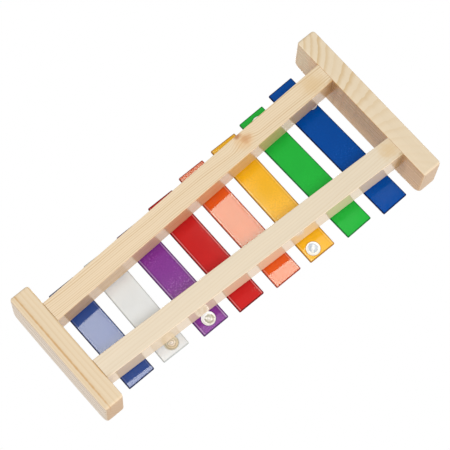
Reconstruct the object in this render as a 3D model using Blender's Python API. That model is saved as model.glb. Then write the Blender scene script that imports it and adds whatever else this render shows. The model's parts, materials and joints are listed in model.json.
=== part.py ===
"""Toy xylophone: a wooden frame of two end blocks and two converging rails,
with eight painted metal bars. The bars rest on a felt strip along each rail and
are held loosely by two screws, each with a soft collar under its head. Metres,
+Z up. The origin is under the middle of the instrument, on the surface it stands
on. The long bars lie towards -X, the player towards -Y."""

import math

import bmesh
import bpy
from mathutils import Matrix, Vector

# End blocks: boards on edge, with their upper corners rounded
BLOCK_THICKNESS = 0.018
BLOCK_HEIGHT = 0.0418
BLOCK_TOP_RADIUS = 0.005
BLOCK_EDGE_RADIUS = 0.0018
WIDE_BLOCK_WIDTH = 0.154
NARROW_BLOCK_WIDTH = 0.117

# Rails: strips on edge, butted against the blocks and closer at the short bars.
# They are lower than the blocks, so that the bars lie sheltered between them
RAIL_THICKNESS = 0.0184
RAIL_HEIGHT = 0.0278
RAIL_EDGE_RADIUS = 0.001
RAIL_SPREAD_WIDE = 0.0842
RAIL_SPREAD_NARROW = 0.0599
GLUE_GAP = 0.0003

# Bars: flat strip, cut shorter for each higher note
BAR_WIDTH = 0.0254
BAR_THICKNESS = 0.002
BAR_PITCH = 0.0355
LONGEST_BAR = 0.138
BAR_CORNER_RADIUS = 0.0008
BAR_EDGE_RADIUS = 0.00025
WIDE_END_CLEARANCE = 0.0124
NARROW_END_CLEARANCE = 0.0117
BAR_HOLE_RADIUS = 0.00225

# Tuning dimples: shallow dishes ground into the underside of some bars
DIMPLE_RADIUS = 0.006
DIMPLE_DEPTH = 0.0009

# Felt strips under the bars, and the soft collars over them. The bars are
# free to lift a little, which lets them ring
SEAT_GAP = 0.0003
FELT_THICKNESS = 0.0015
FELT_WIDTH = 0.009
FELT_OVERHANG = 0.003
BAR_LIFT = 0.0006
COLLAR_THICKNESS = 0.0008
COLLAR_RADIUS = 0.004

# Wood screws
SCREW_SHANK_RADIUS = 0.0015
SCREW_TIP_LENGTH = 0.003
SCREW_BITE = 0.016
SCREW_HEAD_RADIUS = 0.0036
SCREW_HEAD_RIM = 0.0007
SCREW_HEAD_HEIGHT = 0.0021
SCREW_CLEARANCE = 0.0003
RECESS_REACH = 0.0019
RECESS_WIDTH = 0.0007
RECESS_DEPTH = 0.0009

# Dowels that hold each rail end to its block, one above the other
DOWEL_RADIUS = 0.004
DOWEL_IN_BLOCK = 0.012
DOWEL_IN_RAIL = 0.015
DOWEL_SPACING = 0.014
DOWEL_CHAMFER = 0.0006

# Extra length of a cutting tool past the face that it cuts
CUT_OVERRUN = 0.002
DISH_OVERRUN_SHARE = 0.2

ARC_STEPS = 6
ROUND_SIDES = 16
SMALL_SIDES = 12
DISH_RINGS = 3

# Each bar: its colour, its note in semitones above the longest, what it is
# longer than that note asks for, how far its middle sits towards the player and
# towards the short bars, its small turn in degrees, since it was fitted by hand,
# and its dimples. A dimple is given by the half of the bar it is in, its inset
# from that end, and its place across the bar as a share of the bar's width.
BARS = (
    {"name": "dark_blue", "colour": (0, 74, 152), "semitones": 0, "extra": 0.0002,
     "set_forward": 0.0041, "set_right": 0.0003, "turn": -1.2,
     "dimples": (("rear", 0.0265, -0.25),)},
    {"name": "green", "colour": (38, 172, 66), "semitones": 2, "extra": 0.0004,
     "set_forward": 0.0038, "set_right": 0.0003, "turn": -1.1,
     "dimples": (("rear", 0.0089, -0.05),)},
    {"name": "yellow", "colour": (252, 176, 18), "semitones": 4, "extra": 0.0014,
     "set_forward": 0.0036, "set_right": 0.0, "turn": 0.6,
     "dimples": (("front", 0.0078, 0.14),)},
    {"name": "orange", "colour": (238, 96, 28), "semitones": 5, "extra": 0.002,
     "set_forward": 0.0031, "set_right": -0.0004, "turn": 0.3,
     "dimples": ()},
    {"name": "red", "colour": (204, 36, 36), "semitones": 7, "extra": 0.0011,
     "set_forward": 0.003, "set_right": -0.0001, "turn": 0.4,
     "dimples": ()},
    {"name": "purple", "colour": (128, 46, 146), "semitones": 9, "extra": 0.0014,
     "set_forward": 0.0026, "set_right": -0.0007, "turn": 0.0,
     "dimples": (("front", 0.0092, 0.02),)},
    {"name": "white", "colour": (226, 228, 226), "semitones": 11, "extra": 0.0016,
     "set_forward": 0.0013, "set_right": 0.0004, "turn": 1.3,
     "dimples": (("front", 0.0090, -0.07),)},
    {"name": "light_blue", "colour": (58, 92, 168), "semitones": 12, "extra": 0.0010,
     "set_forward": 0.0010, "set_right": 0.0004, "turn": -0.1,
     "dimples": ()},
)
SEMITONES_PER_OCTAVE = 12

INNER_LENGTH = (WIDE_END_CLEARANCE + BAR_WIDTH + (len(BARS) - 1) * BAR_PITCH
                + NARROW_END_CLEARANCE)
TOTAL_LENGTH = INNER_LENGTH + 2 * BLOCK_THICKNESS
WIDE_INNER_X = -INNER_LENGTH / 2
NARROW_INNER_X = INNER_LENGTH / 2

# Heights of the stack on the rails
FELT_Z = RAIL_HEIGHT + SEAT_GAP
BAR_Z = FELT_Z + FELT_THICKNESS + SEAT_GAP
COLLAR_Z = BAR_Z + BAR_THICKNESS + BAR_LIFT + SEAT_GAP
HEAD_Z = COLLAR_Z + COLLAR_THICKNESS + SEAT_GAP


def linear_colour(rgb):
    """Turn a colour in steps of 255 into the linear values of a shader."""
    steps = 255.0
    values = []
    for channel in rgb:
        value = channel / steps
        if value <= 0.04045:
            values.append(value / 12.92)
        else:
            values.append(((value + 0.055) / 1.055) ** 2.4)
    return (*values, 1.0)


def make_material(name, rgb, roughness, metallic=0.0):
    material = bpy.data.materials.new(name)
    material.use_nodes = True
    shader = material.node_tree.nodes["Principled BSDF"]
    shader.inputs["Base Color"].default_value = linear_colour(rgb)
    shader.inputs["Roughness"].default_value = roughness
    shader.inputs["Metallic"].default_value = metallic
    return material


def finish_object(name, bm, material, location=(0, 0, 0), smooth_angle=35):
    """Turn a bmesh into a placed object with its normals pointing out."""
    bmesh.ops.recalc_face_normals(bm, faces=bm.faces)
    mesh = bpy.data.meshes.new(name)
    bm.to_mesh(mesh)
    bm.free()
    mesh.shade_smooth()
    mesh.set_sharp_from_angle(angle=math.radians(smooth_angle))
    if material is not None:
        mesh.materials.append(material)
    piece = bpy.data.objects.new(name, mesh)
    piece.location = location
    bpy.context.scene.collection.objects.link(piece)
    return piece


def add_prism(bm, outline, axis, low, high):
    """Extrude an outline along an axis and return its vertices.

    The outline's points are the two other coordinates, in X, Y, Z order."""
    def place(point, level):
        coordinates = list(point)
        coordinates.insert("XYZ".index(axis), level)
        return coordinates

    bottom = [bm.verts.new(place(point, low)) for point in outline]
    top = [bm.verts.new(place(point, high)) for point in outline]
    bm.faces.new(bottom)
    bm.faces.new(reversed(top))
    for index in range(len(outline)):
        after = (index + 1) % len(outline)
        bm.faces.new((bottom[index], top[index], top[after], bottom[after]))
    return bottom + top


def add_turned(bm, profile, matrix, sides=ROUND_SIDES):
    """Turn a profile of (radius, height) points about Z, then move it.

    A profile that starts or ends on the axis is closed there by a point. One
    that does neither is a closed loop and turns into a ring."""
    on_axis = profile[0][0] == 0
    rings = []
    for radius, height in profile:
        if radius == 0:
            rings.append([bm.verts.new(matrix @ Matrix.Translation((0, 0, height)).translation)])
            continue
        ring = []
        for step in range(sides):
            angle = 2 * math.pi * step / sides
            spot = (radius * math.cos(angle), radius * math.sin(angle), height)
            ring.append(bm.verts.new(matrix @ Matrix.Translation(spot).translation))
        rings.append(ring)
    pairs = list(zip(rings, rings[1:]))
    if not on_axis:
        pairs.append((rings[-1], rings[0]))
    for lower, upper in pairs:
        for step in range(sides):
            after = (step + 1) % sides
            if len(lower) == 1:
                bm.faces.new((lower[0], upper[step], upper[after]))
            elif len(upper) == 1:
                bm.faces.new((lower[step], upper[0], lower[after]))
            else:
                bm.faces.new((lower[step], upper[step], upper[after], lower[after]))


def cylinder_profile(radius, low, high):
    return [(0, low), (radius, low), (radius, high), (0, high)]


def ring_profile(inner, outer, low, high):
    return [(inner, low), (outer, low), (outer, high), (inner, high)]


def arc_points(centre_a, centre_b, radius, start, end, steps=ARC_STEPS):
    points = []
    for step in range(steps + 1):
        angle = math.radians(start + (end - start) * step / steps)
        points.append((centre_a + radius * math.cos(angle), centre_b + radius * math.sin(angle)))
    return points


def round_edges(piece, width, segments=2, weighted=False):
    bevel = piece.modifiers.new("Edge rounding", "BEVEL")
    bevel.width = width
    bevel.segments = segments
    bevel.limit_method = "WEIGHT" if weighted else "ANGLE"
    bevel.angle_limit = math.radians(50)
    bevel.use_clamp_overlap = True


def cut_with(piece, bm, name):
    """Cut a piece by a tool, which is given in the piece's own space."""
    tool = finish_object(name, bm, None)
    tool.parent = piece
    tool.hide_render = True
    tool.display_type = "WIRE"
    boolean = piece.modifiers.new(name, "BOOLEAN")
    boolean.operation = "DIFFERENCE"
    boolean.solver = "EXACT"
    boolean.object = tool


def bar_x(index):
    return WIDE_INNER_X + WIDE_END_CLEARANCE + BAR_WIDTH / 2 + index * BAR_PITCH


def bar_length(bar):
    """A free bar's note rises with one over its length squared."""
    return LONGEST_BAR * 2 ** (-bar["semitones"] / (2 * SEMITONES_PER_OCTAVE)) + bar["extra"]


def rail_y(x):
    """Half the distance between the rails' centre lines at a place along X."""
    share = (x - WIDE_INNER_X) / INNER_LENGTH
    return (RAIL_SPREAD_WIDE * (1 - share) + RAIL_SPREAD_NARROW * share) / 2


def dowel_heights():
    middle = RAIL_HEIGHT / 2
    return (middle - DOWEL_SPACING / 2, middle + DOWEL_SPACING / 2)


def along_x(x, y, z):
    return Matrix.Translation((x, y, z)) @ Matrix.Rotation(math.pi / 2, 4, "Y")


def block_outline(width):
    """The board seen end on, as (y, z): square feet and round shoulders."""
    half = width / 2
    shoulder = half - BLOCK_TOP_RADIUS
    height = BLOCK_HEIGHT - BLOCK_TOP_RADIUS
    outline = [(-half, 0), (half, 0)]
    outline += arc_points(shoulder, height, BLOCK_TOP_RADIUS, 0, 90)
    outline += arc_points(-shoulder, height, BLOCK_TOP_RADIUS, 90, 180)
    return outline


def make_block(name, width, inner_x, outward, material):
    """An end block. Outward is -1 at the wide end and 1 at the narrow end."""
    centre = inner_x + outward * BLOCK_THICKNESS / 2
    bm = bmesh.new()
    add_prism(bm, block_outline(width), "X", -BLOCK_THICKNESS / 2, BLOCK_THICKNESS / 2)
    block = finish_object(name, bm, material, (centre, 0, 0))
    round_edges(block, BLOCK_EDGE_RADIUS)

    holes = bmesh.new()
    mouth = -outward * (BLOCK_THICKNESS / 2 + CUT_OVERRUN)
    bottom = mouth + outward * (CUT_OVERRUN + DOWEL_IN_BLOCK + SEAT_GAP)
    profile = cylinder_profile(DOWEL_RADIUS + SEAT_GAP, min(mouth, bottom), max(mouth, bottom))
    for side in (-1, 1):
        for height in dowel_heights():
            add_turned(holes, profile, along_x(0, side * rail_y(inner_x), height))
    cut_with(block, holes, name + "_dowel_holes")
    return block


def strip_outline(side, low_x, high_x, width):
    """A strip along a rail's centre line, with its ends square to X."""
    lean = math.atan2(rail_y(low_x) - rail_y(high_x), high_x - low_x)
    half = width / 2 / math.cos(lean)
    return [
        (low_x, side * rail_y(low_x) - half),
        (high_x, side * rail_y(high_x) - half),
        (high_x, side * rail_y(high_x) + half),
        (low_x, side * rail_y(low_x) + half),
    ]


def add_drills(bm, side, profile, sides):
    """Stand a drill at each screw of one rail."""
    for index in range(len(BARS)):
        x = bar_x(index)
        add_turned(bm, profile, Matrix.Translation((x, side * rail_y(x), 0)), sides)


def make_rail(name, side, material):
    """A rail, with its ends cut to the blocks' faces. Side is -1 at the front."""
    outline = strip_outline(side, WIDE_INNER_X + GLUE_GAP, NARROW_INNER_X - GLUE_GAP,
                            RAIL_THICKNESS)
    bm = bmesh.new()
    add_prism(bm, outline, "Z", 0, RAIL_HEIGHT)
    weight = bm.edges.layers.float.new("bevel_weight_edge")
    for edge in bm.edges:
        run = edge.verts[0].co - edge.verts[1].co
        edge[weight] = 1.0 if abs(run.x) > INNER_LENGTH / 2 else 0.0
    rail = finish_object(name, bm, material)
    round_edges(rail, RAIL_EDGE_RADIUS, weighted=True)

    pilots = bmesh.new()
    pilot = cylinder_profile(SCREW_SHANK_RADIUS + SCREW_CLEARANCE,
                             RAIL_HEIGHT - SCREW_BITE - SCREW_CLEARANCE,
                             RAIL_HEIGHT + CUT_OVERRUN)
    add_drills(pilots, side, pilot, SMALL_SIDES)
    cut_with(rail, pilots, name + "_pilot_holes")

    holes = bmesh.new()
    for face_x, inward in ((WIDE_INNER_X, 1), (NARROW_INNER_X, -1)):
        mouth = -inward * CUT_OVERRUN
        bottom = inward * (DOWEL_IN_RAIL + SEAT_GAP)
        profile = cylinder_profile(DOWEL_RADIUS + SEAT_GAP, min(mouth, bottom), max(mouth, bottom))
        for height in dowel_heights():
            add_turned(holes, profile, along_x(face_x, side * rail_y(face_x), height))
    cut_with(rail, holes, name + "_dowel_holes")
    return rail


def make_felt_strip(name, side, material):
    low_x = bar_x(0) - BAR_WIDTH / 2 - FELT_OVERHANG
    high_x = bar_x(len(BARS) - 1) + BAR_WIDTH / 2 + FELT_OVERHANG
    bm = bmesh.new()
    add_prism(bm, strip_outline(side, low_x, high_x, FELT_WIDTH), "Z", 0, FELT_THICKNESS)
    strip = finish_object(name, bm, material, (0, 0, FELT_Z))
    holes = bmesh.new()
    punch = cylinder_profile(SCREW_SHANK_RADIUS + SCREW_CLEARANCE,
                             -CUT_OVERRUN, FELT_THICKNESS + CUT_OVERRUN)
    add_drills(holes, side, punch, SMALL_SIDES)
    cut_with(strip, holes, name + "_holes")
    return strip


def dowel_mesh(material):
    """A dowel along X, with its middle over the block's face."""
    waist = DOWEL_RADIUS - DOWEL_CHAMFER
    profile = [
        (0, -DOWEL_IN_BLOCK),
        (waist, -DOWEL_IN_BLOCK),
        (DOWEL_RADIUS, -DOWEL_IN_BLOCK + DOWEL_CHAMFER),
        (DOWEL_RADIUS, DOWEL_IN_RAIL - DOWEL_CHAMFER),
        (waist, DOWEL_IN_RAIL),
        (0, DOWEL_IN_RAIL),
    ]
    bm = bmesh.new()
    add_turned(bm, profile, along_x(0, 0, 0))
    return shared_mesh(finish_object("dowel_pattern", bm, material))


def bar_outline(length):
    half_width = BAR_WIDTH / 2 - BAR_CORNER_RADIUS
    half_length = length / 2 - BAR_CORNER_RADIUS
    steps = ARC_STEPS // 3
    outline = []
    for centre_x, centre_y, start in (
            (half_width, -half_length, -90), (half_width, half_length, 0),
            (-half_width, half_length, 90), (-half_width, -half_length, 180)):
        outline += arc_points(centre_x, centre_y, BAR_CORNER_RADIUS, start, start + 90, steps)
    return outline


def dish_profile():
    """The grinding tool: a ball's cap that stands DIMPLE_DEPTH into the bar."""
    ball = (DIMPLE_RADIUS ** 2 + DIMPLE_DEPTH ** 2) / (2 * DIMPLE_DEPTH)
    reach = math.asin(DIMPLE_RADIUS / ball) * (1 + DISH_OVERRUN_SHARE)
    profile = [(0, DIMPLE_DEPTH)]
    for ring in range(1, DISH_RINGS + 1):
        angle = reach * ring / DISH_RINGS
        profile.append((ball * math.sin(angle), DIMPLE_DEPTH - ball * (1 - math.cos(angle))))
    profile.append((0, -CUT_OVERRUN))
    return profile


def make_bar(index, bar):
    length = bar_length(bar)
    x = bar_x(index)
    middle = Vector((x + bar["set_right"], -bar["set_forward"], BAR_Z))
    turn = Matrix.Rotation(math.radians(bar["turn"]), 4, "Z")
    material = make_material(bar["name"] + "_paint", bar["colour"], 0.22)
    bm = bmesh.new()
    add_prism(bm, bar_outline(length), "Z", 0, BAR_THICKNESS)
    piece = finish_object("bar_" + bar["name"], bm, material, middle)
    piece.rotation_euler = turn.to_euler()
    round_edges(piece, BAR_EDGE_RADIUS, segments=1)

    holes = bmesh.new()
    drill = cylinder_profile(BAR_HOLE_RADIUS, -CUT_OVERRUN, BAR_THICKNESS + CUT_OVERRUN)
    for side in (-1, 1):
        screw = Vector((x, side * rail_y(x), BAR_Z))
        add_turned(holes, drill, Matrix.Translation(turn.inverted() @ (screw - middle)))
    cut_with(piece, holes, piece.name + "_holes")

    if bar["dimples"]:
        dishes = bmesh.new()
        for end, inset, across_share in bar["dimples"]:
            direction = -1 if end == "front" else 1
            spot = (across_share * BAR_WIDTH, direction * (length / 2 - inset), 0)
            add_turned(dishes, dish_profile(), Matrix.Translation(spot))
        cut_with(piece, dishes, piece.name + "_dimples")
    return piece


def screw_profile():
    """A round-headed screw from its tip up, with its head's seat at height 0."""
    reach = HEAD_Z - RAIL_HEIGHT + SCREW_BITE
    dome = SCREW_HEAD_HEIGHT - SCREW_HEAD_RIM
    shoulder = math.radians(45)
    return [
        (0, -reach),
        (SCREW_SHANK_RADIUS, -reach + SCREW_TIP_LENGTH),
        (SCREW_SHANK_RADIUS, 0),
        (SCREW_HEAD_RADIUS, 0),
        (SCREW_HEAD_RADIUS, SCREW_HEAD_RIM),
        (SCREW_HEAD_RADIUS * math.cos(shoulder), SCREW_HEAD_RIM + dome * math.sin(shoulder)),
        (0, SCREW_HEAD_HEIGHT),
    ]


def cross_outline():
    """A cross-shaped driver recess, as (x, y) points around its centre."""
    arm = RECESS_REACH
    half = RECESS_WIDTH / 2
    quarter = [(half, half), (half, arm), (-half, arm)]
    outline = []
    for turn in range(4):
        for x, y in quarter:
            for _ in range(turn):
                x, y = -y, x
            outline.append((x, y))
    return outline


def screw_mesh(material):
    bm = bmesh.new()
    add_turned(bm, screw_profile(), Matrix.Identity(4), SMALL_SIDES)
    screw = finish_object("screw_pattern", bm, material)
    recess = bmesh.new()
    add_prism(recess, cross_outline(), "Z",
              SCREW_HEAD_HEIGHT - RECESS_DEPTH, SCREW_HEAD_HEIGHT + CUT_OVERRUN)
    cut_with(screw, recess, "screw_recess")
    return shared_mesh(screw)


def collar_mesh(material):
    bm = bmesh.new()
    bore = SCREW_SHANK_RADIUS + SCREW_CLEARANCE
    add_turned(bm, ring_profile(bore, COLLAR_RADIUS, 0, COLLAR_THICKNESS),
               Matrix.Identity(4), SMALL_SIDES)
    return shared_mesh(finish_object("collar_pattern", bm, material))


def shared_mesh(pattern):
    """Evaluate a pattern piece, and keep its mesh for the repeated pieces."""
    pattern.name += "_source"
    evaluated = pattern.evaluated_get(bpy.context.evaluated_depsgraph_get())
    mesh = bpy.data.meshes.new_from_object(evaluated)
    for helper in (*pattern.children, pattern):
        bpy.data.objects.remove(helper, do_unlink=True)
    return mesh


def place_copy(name, mesh, location, turn=0.0):
    piece = bpy.data.objects.new(name, mesh)
    piece.location = location
    piece.rotation_euler = (0, 0, turn)
    bpy.context.scene.collection.objects.link(piece)
    return piece


def build():
    for existing in list(bpy.data.objects):
        bpy.data.objects.remove(existing, do_unlink=True)

    pine = make_material("pine", (232, 212, 180), 0.55)
    beech = make_material("dowel_beech", (214, 186, 148), 0.6)
    felt = make_material("strip_felt", (196, 192, 184), 0.95)
    rubber = make_material("collar_rubber", (34, 34, 36), 0.7)
    steel = make_material("screw_steel", (196, 198, 200), 0.28, 1.0)

    dowel = dowel_mesh(beech)
    screw = screw_mesh(steel)
    collar = collar_mesh(rubber)

    pieces = [
        make_block("wide_end_block", WIDE_BLOCK_WIDTH, WIDE_INNER_X, -1, pine),
        make_block("narrow_end_block", NARROW_BLOCK_WIDTH, NARROW_INNER_X, 1, pine),
    ]
    for rail, side in (("front", -1), ("rear", 1)):
        pieces.append(make_rail(rail + "_rail", side, pine))
        pieces.append(make_felt_strip(rail + "_felt_strip", side, felt))
        for end, face_x, turn in (("wide", WIDE_INNER_X, 0.0), ("narrow", NARROW_INNER_X, math.pi)):
            for level, height in zip(("lower", "upper"), dowel_heights()):
                spot = (face_x, side * rail_y(face_x), height)
                name = "dowel_" + end + "_" + rail + "_" + level
                pieces.append(place_copy(name, dowel, spot, turn))
    for index, bar in enumerate(BARS):
        pieces.append(make_bar(index, bar))
        x = bar_x(index)
        for rail, side in (("front", -1), ("rear", 1)):
            suffix = bar["name"] + "_" + rail
            y = side * rail_y(x)
            pieces.append(place_copy("screw_" + suffix, screw, (x, y, HEAD_Z)))
            pieces.append(place_copy("collar_" + suffix, collar, (x, y, COLLAR_Z)))

    stand = bpy.data.objects.new("xylophone", None)
    bpy.context.scene.collection.objects.link(stand)
    for piece in pieces:
        piece.parent = stand


build()
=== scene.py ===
import json
import math

import bmesh
import bpy
from mathutils import Matrix, Vector

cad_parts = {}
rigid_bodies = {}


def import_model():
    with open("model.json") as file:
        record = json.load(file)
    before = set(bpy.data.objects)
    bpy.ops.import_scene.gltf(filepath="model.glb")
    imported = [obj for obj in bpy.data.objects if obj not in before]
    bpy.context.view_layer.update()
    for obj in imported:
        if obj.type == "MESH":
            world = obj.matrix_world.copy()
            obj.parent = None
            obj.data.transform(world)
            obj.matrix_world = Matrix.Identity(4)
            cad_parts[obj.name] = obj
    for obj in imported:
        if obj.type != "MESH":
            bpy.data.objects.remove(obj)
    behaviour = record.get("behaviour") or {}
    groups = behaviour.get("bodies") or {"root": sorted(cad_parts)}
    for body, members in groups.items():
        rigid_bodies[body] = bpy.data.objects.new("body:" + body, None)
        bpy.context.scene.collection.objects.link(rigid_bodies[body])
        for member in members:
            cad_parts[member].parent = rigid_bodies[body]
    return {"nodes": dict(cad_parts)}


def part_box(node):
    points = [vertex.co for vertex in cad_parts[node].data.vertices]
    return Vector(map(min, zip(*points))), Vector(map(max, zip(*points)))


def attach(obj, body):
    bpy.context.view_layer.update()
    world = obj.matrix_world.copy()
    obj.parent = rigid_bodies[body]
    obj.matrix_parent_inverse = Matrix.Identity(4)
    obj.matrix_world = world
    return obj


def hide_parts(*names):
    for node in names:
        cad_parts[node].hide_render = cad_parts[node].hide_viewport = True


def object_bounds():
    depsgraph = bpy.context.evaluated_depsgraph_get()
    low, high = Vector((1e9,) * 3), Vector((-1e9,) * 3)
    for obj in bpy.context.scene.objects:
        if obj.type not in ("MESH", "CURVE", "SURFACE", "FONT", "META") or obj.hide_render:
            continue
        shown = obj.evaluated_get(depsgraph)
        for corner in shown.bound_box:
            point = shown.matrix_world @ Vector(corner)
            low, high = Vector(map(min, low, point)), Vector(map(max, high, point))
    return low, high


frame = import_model()
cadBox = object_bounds()
cadNodes = frame["nodes"]
print("frame loaded:", len(cadNodes), "CAD nodes")


# The photograph shows the underside, seen from below the toy's own level
view = {
    "target": (-0.004210, -0.000496, 0.015),
    "azimuth": -43.6280,
    "elevation": -70.5361,
    "roll": 185.5854,
    "distance": 1.448417,
    "lens": 145.4576,
    "sensor": 36.0,
}

# Area lamps: place, size in metres, and radiance. The four big ones face the toy.
# The strips lie level under it, where the enamel of the bars mirrors them
lamps = {
    "keyBelow": {"place": (0.33, -0.36, -1.1), "size": (0.42, 0.42), "radiance": 10.4},
    "frontFill": {"place": (-0.25, -1.3, 0.0), "size": (1.6, 0.2), "radiance": 7.6},
    "keyAbove": {"place": (-0.55, 0.35, 1.15), "size": (0.7, 0.7), "radiance": 5.0},
    "rearFill": {"place": (1.1, 0.95, 0.0), "size": (0.6, 0.2), "radiance": 7.0},
    "stripOrange": {"place": (-0.2863, 0.2285, -1.0), "size": (0.067, 0.235), "radiance": 14.5,
                    "colour": (0.5, 1.0, 0.84)},
    "stripLightBlue": {"place": (-0.0341, 0.2245, -1.0), "size": (0.067, 0.227), "radiance": 13.8},
    "stripPurple": {"place": (-0.1591, 0.170, -1.0), "size": (0.0714, 0.118), "radiance": 3.0},
    "stripYellow": {"place": (-0.3537, 0.1746, -1.0), "size": (0.058, 0.127), "radiance": 2.0},
    "stripPurpleEnd": {"place": (-0.164, 0.146, -1.0), "size": (0.045, 0.030), "radiance": 6.0},
    "stripYellowEnd": {"place": (-0.349, 0.134, -1.0), "size": (0.048, 0.036), "radiance": 10.0},
    "stripGreenEnd": {"place": (-0.4125, 0.147, -1.0), "size": (0.039, 0.018), "radiance": 2.6},
    "stripDarkBlueEnd": {"place": (-0.475, 0.143, -1.0), "size": (0.042, 0.022), "radiance": 3.6},
}

surround = {
    "light": 0.49,  # what the white surround gives to matt surfaces
    "floorSize": 3.0,
    "floorDrop": 0.0004,
    "floorColour": (220, 220, 218),
    "floorRoughness": 0.9,
    "floorGloss": 0.1,
}


def tone(rgb):  # a colour in steps of 255, as the shader wants it
    values = []
    for channel in rgb:
        share = channel / 255.0
        values.append(share / 12.92 if share <= 0.04045 else ((share + 0.055) / 1.055) ** 2.4)
    return (values[0], values[1], values[2], 1.0)


# Node helpers: each returns a socket that the next one can take

def put(tree, kind, inputs=None, **settings):
    node = tree.nodes.new(kind)
    node.location = (180 * len(tree.nodes), 0)
    for key, value in settings.items():
        setattr(node, key, value)
    for key, value in (inputs or {}).items():
        if isinstance(value, bpy.types.NodeSocket):
            tree.links.new(value, node.inputs[key])
        else:
            node.inputs[key].default_value = value
    return node


def calc(tree, operation, *values, clamp=False):
    return put(tree, "ShaderNodeMath", dict(enumerate(values)), operation=operation,
               use_clamp=clamp).outputs[0]


def vectorCalc(tree, operation, *values):
    node = put(tree, "ShaderNodeVectorMath", dict(enumerate(values)), operation=operation)
    scalar = operation in ("LENGTH", "DOT_PRODUCT", "DISTANCE")
    return node.outputs["Value" if scalar else "Vector"]


def noise(tree, vector, scale, detail=2.0, roughness=0.5):
    return put(tree, "ShaderNodeTexNoise", {"Vector": vector, "Scale": scale, "Detail": detail,
                                            "Roughness": roughness}).outputs["Fac"]


def ramp(tree, value, low, high, toLow=0.0, toHigh=1.0):
    return put(tree, "ShaderNodeMapRange", {"Value": value, "From Min": low, "From Max": high,
                                            "To Min": toLow, "To Max": toHigh},
               interpolation_type="SMOOTHSTEP").outputs["Result"]


def blend(tree, factor, first, second, how="MIX"):
    node = put(tree, "ShaderNodeMix", data_type="RGBA", blend_type=how)
    for index, value in ((0, factor), (6, first), (7, second)):
        if isinstance(value, bpy.types.NodeSocket):
            tree.links.new(value, node.inputs[index])
        else:
            node.inputs[index].default_value = value
    return node.outputs[2]


def split(tree, vector):
    return put(tree, "ShaderNodeSeparateXYZ", {0: vector}).outputs


def join(tree, x, y, z):
    return put(tree, "ShaderNodeCombineXYZ", {0: x, 1: y, 2: z}).outputs[0]


def newGroup(name, inputs, outputs):
    tree = bpy.data.node_groups.new(name, "ShaderNodeTree")
    kinds = {"vector": "NodeSocketVector", "value": "NodeSocketFloat", "colour": "NodeSocketColor"}
    for label, kind, start in inputs:
        socket = tree.interface.new_socket(label, in_out="INPUT", socket_type=kinds[kind])
        if start is not None:
            socket.default_value = start
    for label, kind in outputs:
        tree.interface.new_socket(label, in_out="OUTPUT", socket_type=kinds[kind])
    return tree, put(tree, "NodeGroupInput").outputs


def closeGroup(tree, **results):
    put(tree, "NodeGroupOutput", {label.replace("_", " "): value for label, value in results.items()})
    return tree


def place(tree, group, **inputs):
    node = put(tree, "ShaderNodeGroup", node_tree=group)
    for key, value in inputs.items():
        socket = node.inputs[key.replace("_", " ")]
        if isinstance(value, bpy.types.NodeSocket):
            tree.links.new(value, socket)
        else:
            socket.default_value = value
    return node.outputs


def newMaterial(name):
    material = bpy.data.materials.new(name)
    material.use_nodes = True
    tree = material.node_tree
    return material, tree, tree.nodes["Principled BSDF"]


# Joins what varies over the surface to the shader; look gives its fixed values
def finish(tree, shader, colour, roughness, height, look):
    tree.links.new(colour, shader.inputs["Base Color"])
    tree.links.new(roughness, shader.inputs["Roughness"])
    if "gloss" in look:
        shader.inputs["Specular IOR Level"].default_value = look["gloss"]
    bump = put(tree, "ShaderNodeBump", {"Height": height, "Strength": look["bump"],
                                        "Distance": look["bumpDepth"]})
    tree.links.new(bump.outputs["Normal"], shader.inputs["Normal"])


# Pine: growth rings from a field that says how far each point is from the
# tree's heart, fine fibres along the grain, and slow drifts of tone
def makePineGrain():
    tree, given = newGroup("pineGrain", [
        ("Fibre Vector", "vector", None),
        ("Ring Field", "value", 0.0),
        ("Ring Spacing", "value", 0.002),
        ("Ring Contrast", "value", 0.5),
        ("Early Wood", "colour", tone((238, 220, 190))),
        ("Late Wood", "colour", tone((214, 182, 136))),
    ], [("Color", "colour"), ("Roughness", "value"), ("Height", "value")])
    rings = calc(tree, "DIVIDE", given["Ring Field"], given["Ring Spacing"])
    slow = noise(tree, given["Fibre Vector"], 0.55, 3.0)
    rings = calc(tree, "ADD", rings, calc(tree, "MULTIPLY", slow, 0.6))
    part = calc(tree, "FRACT", rings)
    rise = ramp(tree, part, 0.35, 0.92)
    fall = ramp(tree, part, 0.93, 1.0, 1.0, 0.0)
    late = calc(tree, "MULTIPLY", rise, fall)
    whole = calc(tree, "FLOOR", rings)
    lot = put(tree, "ShaderNodeTexWhiteNoise", {"W": whole}, noise_dimensions="1D").outputs["Value"]
    strength = calc(tree, "MULTIPLY", given["Ring Contrast"], calc(tree, "MULTIPLY_ADD", lot, 1.1, 0.35))
    late = calc(tree, "MULTIPLY", late, strength, clamp=True)
    fibres = noise(tree, vectorCalc(tree, "MULTIPLY", given["Fibre Vector"], (1.0, 9.0, 9.0)), 1.0, 4.0, 0.65)
    drift = noise(tree, given["Fibre Vector"], 0.35, 2.0)
    colour = blend(tree, late, given["Early Wood"], given["Late Wood"])
    shade = calc(tree, "MULTIPLY_ADD", fibres, 0.12, 0.94)
    shade = calc(tree, "MULTIPLY", shade, calc(tree, "MULTIPLY_ADD", drift, 0.10, 0.95))
    grey = join(tree, shade, shade, shade)
    colour = blend(tree, 1.0, colour, grey, "MULTIPLY")
    rough = calc(tree, "MULTIPLY_ADD", fibres, 0.10, 0.10)
    rough = calc(tree, "ADD", rough, calc(tree, "MULTIPLY", late, 0.05))
    height = calc(tree, "ADD", calc(tree, "MULTIPLY", fibres, 0.6), calc(tree, "MULTIPLY", late, 0.8))
    return closeGroup(tree, Color=colour, Roughness=rough, Height=height)


pineGrain = makePineGrain()


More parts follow.
